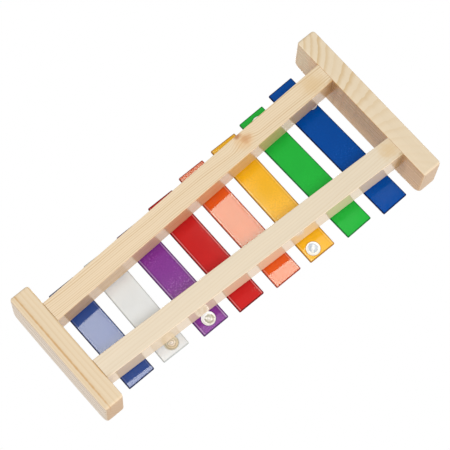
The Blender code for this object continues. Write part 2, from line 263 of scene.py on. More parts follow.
# A knot or smudge of resin: a soft spot of warmer tone with the grain bent round. The same soft spot also
# lays painted shade and painted light on the wood
def makeResinSpot():
    tree, given = newGroup("resinAndShadingSpot", [
        ("Vector", "vector", None),
        ("Centre", "vector", None),
        ("Reach", "vector", (0.004, 0.004, 0.02)),
        ("Strength", "value", 1.0),
        ("Color", "colour", tone((238, 220, 190))),
        ("Resin", "colour", tone((196, 132, 72))),
    ], [("Color", "colour")])
    away = vectorCalc(tree, "SUBTRACT", given["Vector"], given["Centre"])
    away = vectorCalc(tree, "DIVIDE", away, given["Reach"])
    ragged = calc(tree, "MULTIPLY_ADD", noise(tree, given["Vector"], 260.0, 3.0), 0.7, -0.35)
    distance = calc(tree, "ADD", vectorCalc(tree, "LENGTH", away), ragged)
    mask = calc(tree, "MULTIPLY", ramp(tree, distance, 0.15, 1.0, 1.0, 0.0), given["Strength"])
    return closeGroup(tree, Color=blend(tree, mask, given["Color"], given["Resin"]))


resinAndShadingSpot = makeResinSpot()


# How near a point of a bar is to its outline: the thin dark rim of painted shade,
# and inside it, along the long edges, the painted sheen line and the faint painted crease shade
def makeEdgeShadeAndSheen():
    tree, given = newGroup("edgeShadeAndSheen", [
        ("Vector", "vector", None),
        ("Half Width", "value", 0.0125),
        ("Half Length", "value", 0.06),
        ("Rim Width", "value", 0.0008),
    ], [("Rim", "value"), ("Sheen", "value"), ("Crease", "value")])
    xyz = split(tree, given["Vector"])
    across = calc(tree, "SUBTRACT", given["Half Width"], calc(tree, "ABSOLUTE", xyz["X"]))
    along = calc(tree, "SUBTRACT", given["Half Length"], calc(tree, "ABSOLUTE", xyz["Y"]))
    inset = calc(tree, "DIVIDE", calc(tree, "MINIMUM", across, along), given["Rim Width"])
    uneven = calc(tree, "MULTIPLY_ADD", noise(tree, given["Vector"], 420.0, 2.0), 0.3, -0.15)
    inset = calc(tree, "ADD", inset, uneven)
    # painted shade: the thin dark rim along the whole outline, over the bar's side faces too
    rim = ramp(tree, inset, 0.35, 1.0, 1.0, 0.0)
    side = calc(tree, "ADD", calc(tree, "DIVIDE", across, given["Rim Width"]), uneven)
    # painted highlight: the light sheen line along the long edges; painted shade: the faint crease line
    # inside it
    sheen = calc(tree, "MULTIPLY", ramp(tree, side, 0.9, 1.3), ramp(tree, side, 1.4, 2.0, 1.0, 0.0))
    creaseShade = calc(tree, "MULTIPLY", ramp(tree, side, 1.8, 2.2), ramp(tree, side, 2.5, 3.2, 1.0, 0.0))
    return closeGroup(tree, Rim=rim, Sheen=sheen, Crease=creaseShade)


edgeShadeAndSheen = makeEdgeShadeAndSheen()


# Sprayed enamel: a fine orange peel, a faint unevenness of tone, a mottle of painted glints and shade, and
# the painted rim shade, sheen and crease shade along the edges
def makeEnamelFilm():
    tree, given = newGroup("enamelFilm", [
        ("Vector", "vector", None),
        ("Paint", "colour", tone((200, 200, 200))),
        ("Rim Paint", "colour", tone((60, 60, 60))),
        ("Rim", "value", 0.0),
        ("Sheen", "value", 0.0),
        ("Crease", "value", 0.0),
        ("Peel", "value", 0.3),
        ("Speckle", "value", 0.0),
    ], [("Color", "colour"), ("Roughness", "value"), ("Height", "value")])
    slow = noise(tree, given["Vector"], 45.0, 3.0)
    peel = noise(tree, given["Vector"], 900.0, 1.0, 0.4)
    grit = noise(tree, given["Vector"], 2600.0, 2.0, 0.6)
    shade = calc(tree, "MULTIPLY_ADD", slow, 0.16, 0.92)
    grey = join(tree, shade, shade, shade)
    colour = blend(tree, 1.0, given["Paint"], grey, "MULTIPLY")
    # painted glints and painted shade: a mottle that lightens and darkens the paint in patches, whitest at
    # its peaks
    glintMottle = calc(tree, "MULTIPLY_ADD", noise(tree, given["Vector"], 620.0, 2.0, 0.6), 2.4, -1.2)
    patches = ramp(tree, noise(tree, given["Vector"], 38.0, 2.0), 0.40, 0.62, 0.3, 1.0)
    glintMottle = calc(tree, "MULTIPLY", calc(tree, "MULTIPLY", glintMottle, patches), given["Speckle"])
    depth = calc(tree, "ADD", glintMottle, 1.0)
    colour = blend(tree, 1.0, colour, join(tree, depth, depth, depth), "MULTIPLY")
    white = tone((255, 255, 255))
    colour = blend(tree, ramp(tree, glintMottle, 0.05, 0.3, 0.0, 0.1), colour, white)
    # painted crease shade, painted sheen line and painted rim shade along the bar's edges
    colour = blend(tree, calc(tree, "MULTIPLY", given["Crease"], 0.5), colour, given["Rim Paint"])
    colour = blend(tree, calc(tree, "MULTIPLY", given["Sheen"], 0.5), colour, white)
    colour = blend(tree, given["Rim"], colour, given["Rim Paint"])
    rough = calc(tree, "MULTIPLY_ADD", slow, 0.05, 0.04)
    rough = calc(tree, "ADD", rough, calc(tree, "MULTIPLY", given["Rim"], 0.5))
    grit = calc(tree, "MULTIPLY", grit, calc(tree, "MULTIPLY", given["Peel"], 0.25))
    height = calc(tree, "ADD", calc(tree, "MULTIPLY", peel, given["Peel"]), grit)
    return closeGroup(tree, Color=colour, Roughness=rough, Height=height)


enamelFilm = makeEnamelFilm()


# A tuning spot ground through the paint: three zones of painted reflection on the bare steel that
# run into each other, a painted highlight streak across, and the cutter's fine spiral
def makeGroundSpot():
    tree, given = newGroup("groundSpot", [
        ("Vector", "vector", None),
        ("Centre", "vector", None),
        ("Radius", "value", 0.006),
        ("Band", "colour", tone((240, 240, 240))),
        ("Middle", "colour", tone((200, 200, 200))),
        ("Core", "colour", tone((220, 220, 220))),
        ("Streak", "value", 0.5),
        ("Turn", "value", 0.8),
        ("Swirl", "value", 0.1),
    ], [("Mask", "value"), ("Lip", "value"), ("Color", "colour"), ("Height", "value")])
    away = vectorCalc(tree, "SUBTRACT", given["Vector"], given["Centre"])
    xyz = split(tree, away)
    radius = vectorCalc(tree, "LENGTH", join(tree, xyz["X"], xyz["Y"], 0.0))
    ragged = calc(tree, "MULTIPLY_ADD", noise(tree, given["Vector"], 700.0, 2.0), 0.0005, -0.00025)
    share = calc(tree, "DIVIDE", calc(tree, "ADD", radius, ragged), given["Radius"])
    under = ramp(tree, xyz["Z"], 0.0012, 0.0014, 1.0, 0.0)
    mask = calc(tree, "MULTIPLY", ramp(tree, share, 0.96, 1.0, 1.0, 0.0), under)
    lip = calc(tree, "MULTIPLY", ramp(tree, share, 1.0, 1.14, 1.0, 0.0), under)
    lip = calc(tree, "SUBTRACT", lip, mask, clamp=True)
    angle = calc(tree, "ARCTAN2", xyz["Y"], xyz["X"])
    lopsided = calc(tree, "MULTIPLY", calc(tree, "SINE", calc(tree, "ADD", angle, given["Turn"])), 0.14)
    patchy = calc(tree, "MULTIPLY_ADD", noise(tree, given["Vector"], 480.0, 2.0), 0.5, -0.25)
    zone = calc(tree, "ADD", share, calc(tree, "ADD", lopsided, patchy))
    # painted reflection: three zones of tone over the bare steel
    colour = blend(tree, ramp(tree, zone, 0.22, 0.42), given["Core"], given["Middle"])
    colour = blend(tree, ramp(tree, zone, 0.56, 0.76), colour, given["Band"])
    # painted highlight: a bright streak across the spot
    offLine = calc(tree, "SUBTRACT", calc(tree, "MULTIPLY", xyz["X"], calc(tree, "SINE", given["Turn"])),
                   calc(tree, "MULTIPLY", xyz["Y"], calc(tree, "COSINE", given["Turn"])))
    highlightStreak = ramp(tree, calc(tree, "ABSOLUTE", offLine), 0.0004, 0.0012, 1.0, 0.0)
    highlightStreak = calc(tree, "MULTIPLY", highlightStreak, ramp(tree, share, 0.45, 0.75, 1.0, 0.0))
    colour = blend(tree, calc(tree, "MULTIPLY", highlightStreak, given["Streak"]), colour, tone((252, 252, 250)))
    spiral = calc(tree, "SINE", calc(tree, "MULTIPLY_ADD", radius, 7400.0, angle))
    rings = join(tree, calc(tree, "MULTIPLY", angle, 0.6), calc(tree, "MULTIPLY", radius, 2600.0), 0.0)
    brushed = noise(tree, rings, 1.0, 3.0)
    drift = calc(tree, "MULTIPLY_ADD", noise(tree, given["Vector"], 300.0, 1.0), 4.0, angle)
    swirl = calc(tree, "SINE", calc(tree, "MULTIPLY_ADD", radius, 3100.0, drift))
    swirl = calc(tree, "MULTIPLY", swirl, given["Swirl"])
    shade = calc(tree, "MULTIPLY_ADD", spiral, 0.03, swirl)
    shade = calc(tree, "ADD", shade, calc(tree, "MULTIPLY_ADD", brushed, 0.24, 0.86))
    colour = blend(tree, 1.0, colour, join(tree, shade, shade, shade), "MULTIPLY")
    height = calc(tree, "ADD", calc(tree, "MULTIPLY", spiral, 0.5), brushed)
    return closeGroup(tree, Mask=mask, Lip=lip, Color=colour, Height=height)


groundSpot = makeGroundSpot()
print("node groups made")


# Mesh helpers

def link(name, data):
    holder = bpy.data.objects.new(name, data)
    bpy.context.scene.collection.objects.link(holder)
    return holder


def addObject(name, bm, where=(0, 0, 0), turn=0.0):
    bmesh.ops.recalc_face_normals(bm, faces=bm.faces)
    mesh = bpy.data.meshes.new(name)
    bm.to_mesh(mesh)
    bm.free()
    piece = link(name, mesh)
    piece.location = where
    piece.rotation_euler = (0, 0, turn)
    return piece


def keepFacesFlat(piece):
    even = piece.modifiers.new("flat faces stay flat", "WEIGHTED_NORMAL")
    even.keep_sharp = True


def applyModifiers(piece, smoothAngle=40):
    bpy.context.view_layer.update()
    evaluated = piece.evaluated_get(bpy.context.evaluated_depsgraph_get())
    mesh = bpy.data.meshes.new_from_object(evaluated)
    piece.modifiers.clear()
    piece.data = mesh
    for tool in list(piece.children):
        bpy.data.objects.remove(tool, do_unlink=True)
    mesh.shade_smooth()
    mesh.set_sharp_from_angle(angle=math.radians(smoothAngle))
    keepFacesFlat(piece)


def takeMesh(pattern):  # the finished mesh of a pattern that many pieces share
    mesh = pattern.data
    bpy.data.objects.remove(pattern, do_unlink=True)
    return mesh


def prism(bm, outline, axis, low, high):
    def at(point, level):
        coordinates = list(point)
        coordinates.insert("XYZ".index(axis), level)
        return coordinates
    bottom = [bm.verts.new(at(point, low)) for point in outline]
    top = [bm.verts.new(at(point, high)) for point in outline]
    bm.faces.new(bottom)
    bm.faces.new(reversed(top))
    for index in range(len(outline)):
        after = (index + 1) % len(outline)
        bm.faces.new((bottom[index], top[index], top[after], bottom[after]))


def lathe(bm, profile, centre, sides=40):  # points of (radius, height), about Z
    rings = []
    for radius, height in profile:
        if radius == 0:
            rings.append([bm.verts.new(Vector(centre) + Vector((0, 0, height)))])
            continue
        ring = []
        for step in range(sides):
            angle = 2 * math.pi * step / sides
            spot = Vector((radius * math.cos(angle), radius * math.sin(angle), height))
            ring.append(bm.verts.new(Vector(centre) + spot))
        rings.append(ring)
    pairs = list(zip(rings, rings[1:]))
    if profile[0][0] != 0:
        pairs.append((rings[-1], rings[0]))
    for lower, upper in pairs:
        for step in range(sides):
            after = (step + 1) % sides
            if len(lower) == 1:
                bm.faces.new((lower[0], upper[step], upper[after]))
            elif len(upper) == 1:
                bm.faces.new((lower[step], upper[0], lower[after]))
            else:
                bm.faces.new((lower[step], upper[step], upper[after], lower[after]))


def arc(centreA, centreB, radius, start, end, steps):
    points = []
    for step in range(steps + 1):
        angle = math.radians(start + (end - start) * step / steps)
        points.append((centreA + radius * math.cos(angle), centreB + radius * math.sin(angle)))
    return points


def weighEdges(bm, weigh):  # how much of the bevel's width each edge takes
    weights = bm.edges.layers.float.new("bevel_weight_edge")
    for edge in bm.edges:
        first, second = (vert.co for vert in edge.verts)
        edge[weights] = weigh(first - second, (first + second) / 2)


def easeEdges(piece, width, segments=3, limit="ANGLE", sharpAngle=50):
    bevel = piece.modifiers.new("eased edges", "BEVEL")
    bevel.width = width
    bevel.segments = segments
    bevel.limit_method = limit
    bevel.angle_limit = math.radians(sharpAngle)


def cut(piece, bm, name):
    tool = addObject(name, bm)
    tool.parent = piece
    tool.hide_render = True
    tool.display_type = "WIRE"
    boolean = piece.modifiers.new(name, "BOOLEAN")
    boolean.operation = "DIFFERENCE"
    boolean.solver = "EXACT"
    boolean.object = tool


def standFor(piece, node, body, slot):
    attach(piece, body)
    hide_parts(node)


def giveFinish(mesh, material):
    mesh.materials.clear()
    mesh.materials.append(material)


# Wooden parts. The grain runs along X or Y; heart is where the tree's middle
# lies, beside the board and under it
# side multiplies the faces across the grain: the wood's own tone there together with painted light and
# painted shade, lighter on the rear rail and darker on the wide block
wood = {
    "wide_end_block": {
        "grain": "Y", "heart": (-0.158, 0.0), "spacing": 0.0092, "contrast": 0.5, "wander": 0.0014,
        "calm": (-0.046, -0.018), "early": (238, 215, 185), "late": (214, 176, 122), "skew": 17.0,
        "side": (229, 189, 135), "end": (190, 158, 132), "matt": 0.12,
    },
    "narrow_end_block": {
        "grain": "Y", "heart": (0.035, -0.055), "spacing": 0.0034, "contrast": 0.48, "wander": 0.004,
        "calm": None, "early": (235, 211, 179), "late": (216, 180, 129), "skew": 0.0,
        "side": (248, 244, 243), "end": (188, 150, 118), "matt": 0.12,
    },
    "front_rail": {
        "grain": "X", "heart": (0.12, -0.09), "spacing": 0.0022, "contrast": 0.22, "wander": 0.006,
        "calm": None, "early": (236, 217, 192), "late": (218, 188, 148), "skew": 0.0,
        "side": (250, 241, 225), "end": (214, 182, 148), "matt": 0.0,
    },
    "rear_rail": {
        "grain": "X", "heart": (0.10, -0.03), "spacing": 0.0016, "contrast": 0.65, "wander": 0.006,
        "calm": None, "early": (241, 216, 184), "late": (212, 174, 124), "skew": 0.0,
        "side": (274, 262, 238), "end": (214, 182, 148), "matt": 0.05,
        "knot": {"centre": (-0.059, 0.043, 0.0), "reach": (0.017, 0.013, 1.0), "bend": 0.0034},
    },
}

# footEdge, standingEdge and longEdge are shares of the edge radius
blockShape = {
    "topRadius": 0.0075, "topSteps": 12, "edge": 0.0028, "edgeSteps": 4,
    "footEdge": 1.0, "standingEdge": 1.0, "longEdge": 0.36,
}

# The rails' middles lie at the spread from the instrument's middle line
railShape = {
    "wideSpread": 0.0421, "narrowSpread": 0.02995, "thickness": 0.0184, "edge": 0.0007,
    "seam": 0.00004,  # the glue line at the blocks
}

# Stretch of the noises along the grain, across it and in height, and how much
# the sawn side, the end grain and their roughness count
pineFinish = {
    "fibres": (14.0, 260.0, 48.0), "wander": (9.0, 45.0, 45.0), "calmShare": 0.12,
    "side": 0.75, "end": 0.6, "sawnRoughness": 0.4, "gloss": 0.4, "bump": 0.2, "bumpDepth": 0.00005,
}


def pineMaterial(name):
    spec = wood[name]
    material, tree, shader = newMaterial(name + "_pine")
    point = put(tree, "ShaderNodeTexCoord").outputs["Object"]
    xyz = split(tree, point)
    along, across = (xyz["X"], xyz["Y"]) if spec["grain"] == "X" else (xyz["Y"], xyz["X"])
    straight = join(tree, along, across, xyz["Z"])
    fibre = vectorCalc(tree, "MULTIPLY", straight, pineFinish["fibres"])
    wander = noise(tree, vectorCalc(tree, "MULTIPLY", straight, pineFinish["wander"]), 1.0, 2.0)
    wander = calc(tree, "MULTIPLY_ADD", wander, spec["wander"], -spec["wander"] / 2)
    aside = calc(tree, "SUBTRACT", across, spec["heart"][0])
    if spec["skew"]:  # rings cut across, as at the end of a board
        slant = calc(tree, "MULTIPLY", calc(tree, "MULTIPLY", along, aside), spec["skew"])
        field = calc(tree, "ADD", along, slant)
    else:
        below = calc(tree, "SUBTRACT", xyz["Z"], spec["heart"][1])
        field = vectorCalc(tree, "LENGTH", join(tree, aside, below, 0.0))
    field = calc(tree, "ADD", field, wander)
    if "knot" in spec:
        away = vectorCalc(tree, "SUBTRACT", join(tree, xyz["X"], xyz["Y"], 0.0), spec["knot"]["centre"])
        near = vectorCalc(tree, "LENGTH", vectorCalc(tree, "DIVIDE", away, spec["knot"]["reach"]))
        field = calc(tree, "ADD", field, ramp(tree, near, 0.0, 1.0, spec["knot"]["bend"], 0.0))
    contrast = spec["contrast"]
    if spec["calm"]:
        contrast = ramp(tree, along, *spec["calm"], pineFinish["calmShare"] * contrast, contrast)
    grain = place(tree, pineGrain, Fibre_Vector=fibre, Ring_Field=field, Ring_Spacing=spec["spacing"],
                  Ring_Contrast=contrast, Early_Wood=tone(spec["early"]), Late_Wood=tone(spec["late"]))
    colour = grain["Color"]
    # resin knots and smudges, and spots of painted shade and painted light
    for spot in resinAndPaintedShading.get(name, ()):
        colour = place(tree, resinAndShadingSpot, Vector=point, Centre=spot["centre"], Reach=spot["reach"],
                       Strength=spot["strength"], Color=colour, Resin=tone(spot["colour"]))["Color"]
    facing = split(tree, put(tree, "ShaderNodeNewGeometry").outputs["Normal"])
    endGrain = ramp(tree, calc(tree, "ABSOLUTE", facing[spec["grain"]]), 0.6, 0.9)
    side = ramp(tree, calc(tree, "ABSOLUTE", facing["Y" if spec["grain"] == "X" else "X"]), 0.6, 0.9)
    level = ramp(tree, calc(tree, "ABSOLUTE", facing["Z"]), 0.3, 0.8)
    # the faces across the grain take the side tone: own tone together with painted light and painted shade
    sideToneAndShade = blend(tree, 1.0, colour, tone(spec["side"]), "MULTIPLY")
    colour = blend(tree, calc(tree, "MULTIPLY", side, pineFinish["side"]), colour, sideToneAndShade)
    colour = blend(tree, calc(tree, "MULTIPLY", endGrain, pineFinish["end"]), colour, tone(spec["end"]))
    sawn = calc(tree, "MULTIPLY", calc(tree, "ADD", endGrain, level), pineFinish["sawnRoughness"])
    roughness = calc(tree, "ADD", calc(tree, "ADD", grain["Roughness"], spec["matt"]), sawn)
    finish(tree, shader, colour, roughness, grain["Height"], pineFinish)
    return material


# Warm smudges and streaks of resin on the underside, and spots of painted shade in the corners
# where rails meet blocks and over the wide block's inner face, with painted light on its open rear end
resinAndPaintedShading = {
    "rear_rail": (
        {"centre": (-0.0590, 0.0400, 0.0), "reach": (0.0120, 0.0105, 0.014),
         "strength": 0.7, "colour": (234, 188, 136)},
        {"centre": (-0.0612, 0.0405, 0.0), "reach": (0.0070, 0.0050, 0.012),
         "strength": 0.65, "colour": (210, 150, 102)},
        {"centre": (-0.0574, 0.0462, 0.0), "reach": (0.0048, 0.0036, 0.012),
         "strength": 0.9, "colour": (188, 126, 82)},
        {"centre": (-0.134, 0.041, 0.0), "reach": (0.015, 0.013, 0.015),
         "strength": 0.55, "colour": (224, 186, 132)},
        # painted shade in the corner where the rail meets the wide block
        {"centre": (-0.1495, 0.0328, 0.014), "reach": (0.0125, 0.0040, 0.032),
         "strength": 0.8, "colour": (190, 142, 78)},
    ),
    "front_rail": (
        {"centre": (-0.143, -0.041, 0.0), "reach": (0.014, 0.013, 0.015),
         "strength": 0.6, "colour": (224, 186, 132)},
        # painted shade in the corner where the rail meets the wide block
        {"centre": (-0.1495, -0.0514, 0.016), "reach": (0.0115, 0.0040, 0.034),
         "strength": 0.9, "colour": (180, 144, 86)},
        # painted shade in the corner where the rail meets the narrow block
        {"centre": (0.1495, -0.0391, 0.016), "reach": (0.0100, 0.0040, 0.034),
         "strength": 0.5, "colour": (186, 154, 112)},
    ),
    "wide_end_block": (
        # painted light: the open rear end of the inner face, paler
        {"centre": (-0.1482, 0.069, 0.016), "reach": (0.002, 0.024, 0.045),
         "strength": 0.9, "colour": (240, 250, 244)},
        # painted shade: a darker, warmer tone over the inner face between the rails
        {"centre": (-0.1482, 0.0, 0.020), "reach": (0.002, 0.075, 0.035),
         "strength": 1.0, "colour": (212, 182, 134)},
        # painted shade in the corner where the rear rail meets this face
        {"centre": (-0.1482, 0.0320, 0.020), "reach": (0.002, 0.0090, 0.035),
         "strength": 0.7, "colour": (184, 150, 92)},
        # painted shade in the corner where the front rail meets this face
        {"centre": (-0.1482, -0.0520, 0.020), "reach": (0.002, 0.0085, 0.035),
         "strength": 0.8, "colour": (184, 148, 92)},
    ),
    "narrow_end_block": (
        {"centre": (0.1625, 0.0, 0.0), "reach": (0.0013, 0.14, 0.02),
         "strength": 0.85, "colour": (206, 158, 98)},
        {"centre": (0.1495, -0.0301, 0.0), "reach": (0.0016, 0.012, 0.004),
         "strength": 0.6, "colour": (224, 176, 112)},
    ),
}


def makeBlock(name):
    low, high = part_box(name)
    radius, steps = blockShape["topRadius"], blockShape["topSteps"]
    outline = [(low.y, low.z), (high.y, low.z)]
    outline += arc(high.y - radius, high.z - radius, radius, 0, 90, steps)
    outline += arc(low.y + radius, high.z - radius, radius, 90, 180, steps)
    bm = bmesh.new()
    prism(bm, outline, "X", low.x, high.x)

    def weigh(run, middle):
        if abs(run.x) > radius:  # across the thickness: only the two at the foot are sharp
            return blockShape["footEdge"] if middle.z < low.z + radius / 2 else 0.0
        return blockShape["standingEdge"] if abs(run.y) < radius else blockShape["longEdge"]

    weighEdges(bm, weigh)
    block = addObject("pine_" + name, bm)
    easeEdges(block, blockShape["edge"], blockShape["edgeSteps"], "WEIGHT")
    applyModifiers(block)
    giveFinish(block.data, pineMaterial(name))
    standFor(block, name, "frame", "pine")


def makeRail(name, side):  # side is -1 at the player, 1 at the far side
    low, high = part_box(name)
    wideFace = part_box("wide_end_block")[1].x + railShape["seam"]
    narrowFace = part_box("narrow_end_block")[0].x - railShape["seam"]
    spreadWide, spreadNarrow = railShape["wideSpread"], railShape["narrowSpread"]
    lean = math.atan2(spreadWide - spreadNarrow, narrowFace - wideFace)
    half = railShape["thickness"] / 2 / math.cos(lean)
    outline = [
        (wideFace, side * spreadWide - half),
        (narrowFace, side * spreadNarrow - half),
        (narrowFace, side * spreadNarrow + half),
        (wideFace, side * spreadWide + half),
    ]
    bm = bmesh.new()
    prism(bm, outline, "Z", low.z, high.z)
    weighEdges(bm, lambda run, middle: 1.0 if abs(run.x) > railShape["thickness"] else 0.0)
    rail = addObject("pine_" + name, bm)
    easeEdges(rail, railShape["edge"], limit="WEIGHT")
    applyModifiers(rail)
    giveFinish(rail.data, pineMaterial(name))
    standFor(rail, name, "frame", "pine")


makeBlock("wide_end_block")
makeBlock("narrow_end_block")
makeRail("front_rail", -1)
makeRail("rear_rail", 1)
print("wooden frame made")


# Bars: the note in semitones above the longest, what the bar is longer than that
# note asks for, and its turn in degrees. Then the colours of the face and of the
# thin dark rim of painted shade, the gloss, the orange peel, the mottle of painted
# glints and shade, and how strong the painted sheen and crease shade along the long
# edges are. A dimple has the half of the bar, the inset from that end, its place
# across as a share of the width, and how it was ground, with its painted reflection
bars = {
    "dark_blue": {
        "semitones": 0, "extra": 0.0002, "turn": -1.2, "paint": (0, 76, 166), "rim": (0, 16, 74),
        "gloss": 0.08, "peel": 0.2, "glintsAndShade": 0.25, "paintedEdgeLines": 0.0,
        "dimples": (("rear", 0.0276, -0.35, "pale"),),
    },
    "green": {
        "semitones": 2, "extra": 0.0004, "turn": -1.1, "paint": (34, 186, 62), "rim": (14, 104, 40),
        "gloss": 0.12, "peel": 0.2, "glintsAndShade": 0.12, "paintedEdgeLines": 0.0,
        "dimples": (("rear", 0.0097, -0.05, "pale"),),
    },
    "yellow": {
        "semitones": 4, "extra": 0.0014, "turn": 0.6, "paint": (252, 188, 24), "rim": (166, 108, 12),
        "gloss": 0.24, "peel": 0.3, "glintsAndShade": 0.24, "paintedEdgeLines": 0.22,
        "dimples": (("front", 0.0078, 0.14, "silver"),),
    },
    "orange": {
        "semitones": 5, "extra": 0.002, "turn": 0.3, "paint": (234, 90, 18), "rim": (146, 46, 24),
        "gloss": 0.3, "peel": 0.08, "glintsAndShade": 0.05, "paintedEdgeLines": 0.3,
        "dimples": (),
    },
    "red": {
        "semitones": 7, "extra": 0.0011, "turn": 0.4, "paint": (204, 36, 36), "rim": (108, 10, 14),
        "gloss": 0.08, "peel": 0.2, "glintsAndShade": 0.08, "paintedEdgeLines": 0.4,
        "dimples": (),
    },
    "purple": {
        "semitones": 9, "extra": 0.0014, "turn": 0.0, "paint": (134, 48, 152), "rim": (66, 8, 84),
        "gloss": 0.25, "peel": 0.5, "glintsAndShade": 0.6, "paintedEdgeLines": 0.5,
        "dimples": (("front", 0.0092, 0.02, "patchy"),),
    },
    "white": {
        "semitones": 11, "extra": 0.0016, "turn": 1.3, "paint": (233, 236, 239), "rim": (192, 195, 194),
        "gloss": 0.2, "peel": 0.2, "glintsAndShade": 0.02, "paintedEdgeLines": 0.0,
        "dimples": (("front", 0.0090, -0.07, "tan"),),
    },
    "light_blue": {
        "semitones": 12, "extra": 0.0018, "turn": -0.1, "paint": (44, 76, 150), "rim": (8, 18, 64),
        "gloss": 0.3, "peel": 0.02, "glintsAndShade": 0.04, "paintedEdgeLines": 0.15,
        "dimples": (),
    },
}

barShape = {
    "longest": 0.138, "width": 0.0254, "thickness": 0.002, "corner": 0.0008, "cornerSteps": 5,
    "edge": 0.0003, "hole": 0.00225, "dimpleRadius": 0.006, "dimpleDepth": 0.0009,
    "dimpleRings": 12, "dimpleSides": 56, "rimWidth": 0.0011,
}
cutOverrun = 0.002  # how far a cutter stands out past what it cuts

enamelFinish = {"bump": 0.5, "bumpDepth": 0.0001}

# Bare steel in the tuning spots: how metallic, how much rougher than the enamel,
# how deep the cutter's marks, and how dark the chipped lip of the paint
groundSteel = {"metallic": 0.3, "roughness": 0.45, "marks": 0.4, "lip": 0.8}


# How each tuning spot looks: bare steel, with painted reflection in three zones and a painted highlight
# streak
groundLooks = {
    "pale": {"band": (250, 252, 250), "middle": (228, 232, 234), "core": (236, 236, 236),
             "highlightStreak": 0.3, "turn": 0.8, "swirl": 0.04},
    "silver": {"band": (250, 250, 248), "middle": (196, 204, 216), "core": (224, 228, 234),
               "highlightStreak": 0.7, "turn": 2.4, "swirl": 0.08},
    "patchy": {"band": (254, 254, 254), "middle": (192, 190, 172), "core": (226, 226, 216),
               "highlightStreak": 0.9, "turn": 0.9, "swirl": 0.14},
    "tan": {"band": (206, 196, 170), "middle": (220, 206, 180), "core": (234, 222, 210),
            "highlightStreak": 0.3, "turn": 0.4, "swirl": 0.16},
}


def barLength(bar):
    return barShape["longest"] * 2 ** (-bar["semitones"] / 24) + bar["extra"]


def dimpleSpots(bar):
    spots = []
    for end, inset, share, _ in bar["dimples"]:
        direction = -1 if end == "front" else 1
        spots.append((share * barShape["width"], direction * (barLength(bar) / 2 - inset), 0.0))
    return spots


def enamelMaterial(name, bar):
    material, tree, shader = newMaterial(name + "_enamel")
    point = put(tree, "ShaderNodeTexCoord").outputs["Object"]
    edge = place(tree, edgeShadeAndSheen, Vector=point, Half_Width=barShape["width"] / 2,
                 Half_Length=barLength(bar) / 2, Rim_Width=barShape["rimWidth"])
    film = place(tree, enamelFilm, Vector=point, Paint=tone(bar["paint"]), Rim_Paint=tone(bar["rim"]),
                 Rim=edge["Rim"], Sheen=calc(tree, "MULTIPLY", edge["Sheen"], bar["paintedEdgeLines"]),
                 Crease=calc(tree, "MULTIPLY", edge["Crease"], bar["paintedEdgeLines"]),
                 Peel=bar["peel"], Speckle=bar["glintsAndShade"])
    colour, roughness, height = film["Color"], film["Roughness"], film["Height"]
    # each tuning spot: bare steel with its painted reflection and painted highlight, and a dark lip of paint
    # round it
    for centre, dimple in zip(dimpleSpots(bar), bar["dimples"]):
        look = groundLooks[dimple[3]]
        spot = place(tree, groundSpot, Vector=point, Centre=centre, Radius=barShape["dimpleRadius"],
                     Band=tone(look["band"]), Middle=tone(look["middle"]), Core=tone(look["core"]),
                     Streak=look["highlightStreak"], Turn=look["turn"], Swirl=look["swirl"])
        mask, lip = spot["Mask"], calc(tree, "MULTIPLY", spot["Lip"], groundSteel["lip"])
        colour = blend(tree, lip, colour, tone(bar["rim"]))
        colour = blend(tree, mask, colour, spot["Color"])
        roughness = calc(tree, "ADD", roughness, calc(tree, "MULTIPLY", mask, groundSteel["roughness"]))
        marks = calc(tree, "MULTIPLY", spot["Height"], calc(tree, "MULTIPLY", mask, groundSteel["marks"]))
        height = calc(tree, "ADD", height, marks)
        tree.links.new(calc(tree, "MULTIPLY", mask, groundSteel["metallic"]), shader.inputs["Metallic"])
    finish(tree, shader, colour, roughness, height, dict(enamelFinish, gloss=bar["gloss"]))
    return material


def barOutline(length):
    corner = barShape["corner"]
    halfWidth = barShape["width"] / 2 - corner
    halfLength = length / 2 - corner
    outline = []
    for x, y, start in ((halfWidth, -halfLength, -90), (halfWidth, halfLength, 0),
                        (-halfWidth, halfLength, 90), (-halfWidth, -halfLength, 180)):
        outline += arc(x, y, corner, start, start + 90, barShape["cornerSteps"])
    return outline


def dishProfile():  # the cap of a ball, a little wider than the dish it cuts
    radius, depth, rings = barShape["dimpleRadius"], barShape["dimpleDepth"], barShape["dimpleRings"]
    ball = (radius ** 2 + depth ** 2) / (2 * depth)
    reach = math.asin(radius / ball) * 1.1
    profile = [(0, depth)]
    for ring in range(1, rings + 1):
        angle = reach * ring / rings
        profile.append((ball * math.sin(angle), depth - ball * (1 - math.cos(angle))))
    profile.append((0, -cutOverrun))
    return profile


def screwSpot(name, side):
    low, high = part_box("screw_" + name + "_" + side)
    return (low + high) / 2


def makeBar(name, bar):
    node = "bar_" + name
    low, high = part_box(node)
    centre = (low + high) / 2
    turn = math.radians(bar["turn"])
    bm = bmesh.new()
    prism(bm, barOutline(barLength(bar)), "Z", 0, barShape["thickness"])
    piece = addObject("enamel_" + node, bm, (centre.x, centre.y, low.z), turn)
    easeEdges(piece, barShape["edge"])

    back = Matrix.Rotation(-turn, 4, "Z")
    drill = bmesh.new()
    bottom, top = -cutOverrun, barShape["thickness"] + cutOverrun
    for side in ("front", "rear"):
        spot = back @ (screwSpot(name, side) - centre)
        hole = [(0, bottom), (barShape["hole"], bottom), (barShape["hole"], top), (0, top)]
        lathe(drill, hole, (spot.x, spot.y, 0))
    cut(piece, drill, node + "_holes")

    if bar["dimples"]:
        grinder = bmesh.new()
        for spot in dimpleSpots(bar):
            lathe(grinder, dishProfile(), spot, barShape["dimpleSides"])
        cut(piece, grinder, node + "_dishes")
    applyModifiers(piece, 30)
    giveFinish(piece.data, enamelMaterial(name, bar))
    standFor(piece, node, node, name + "_paint")


for name, bar in bars.items():
    makeBar(name, bar)
print("bars made")


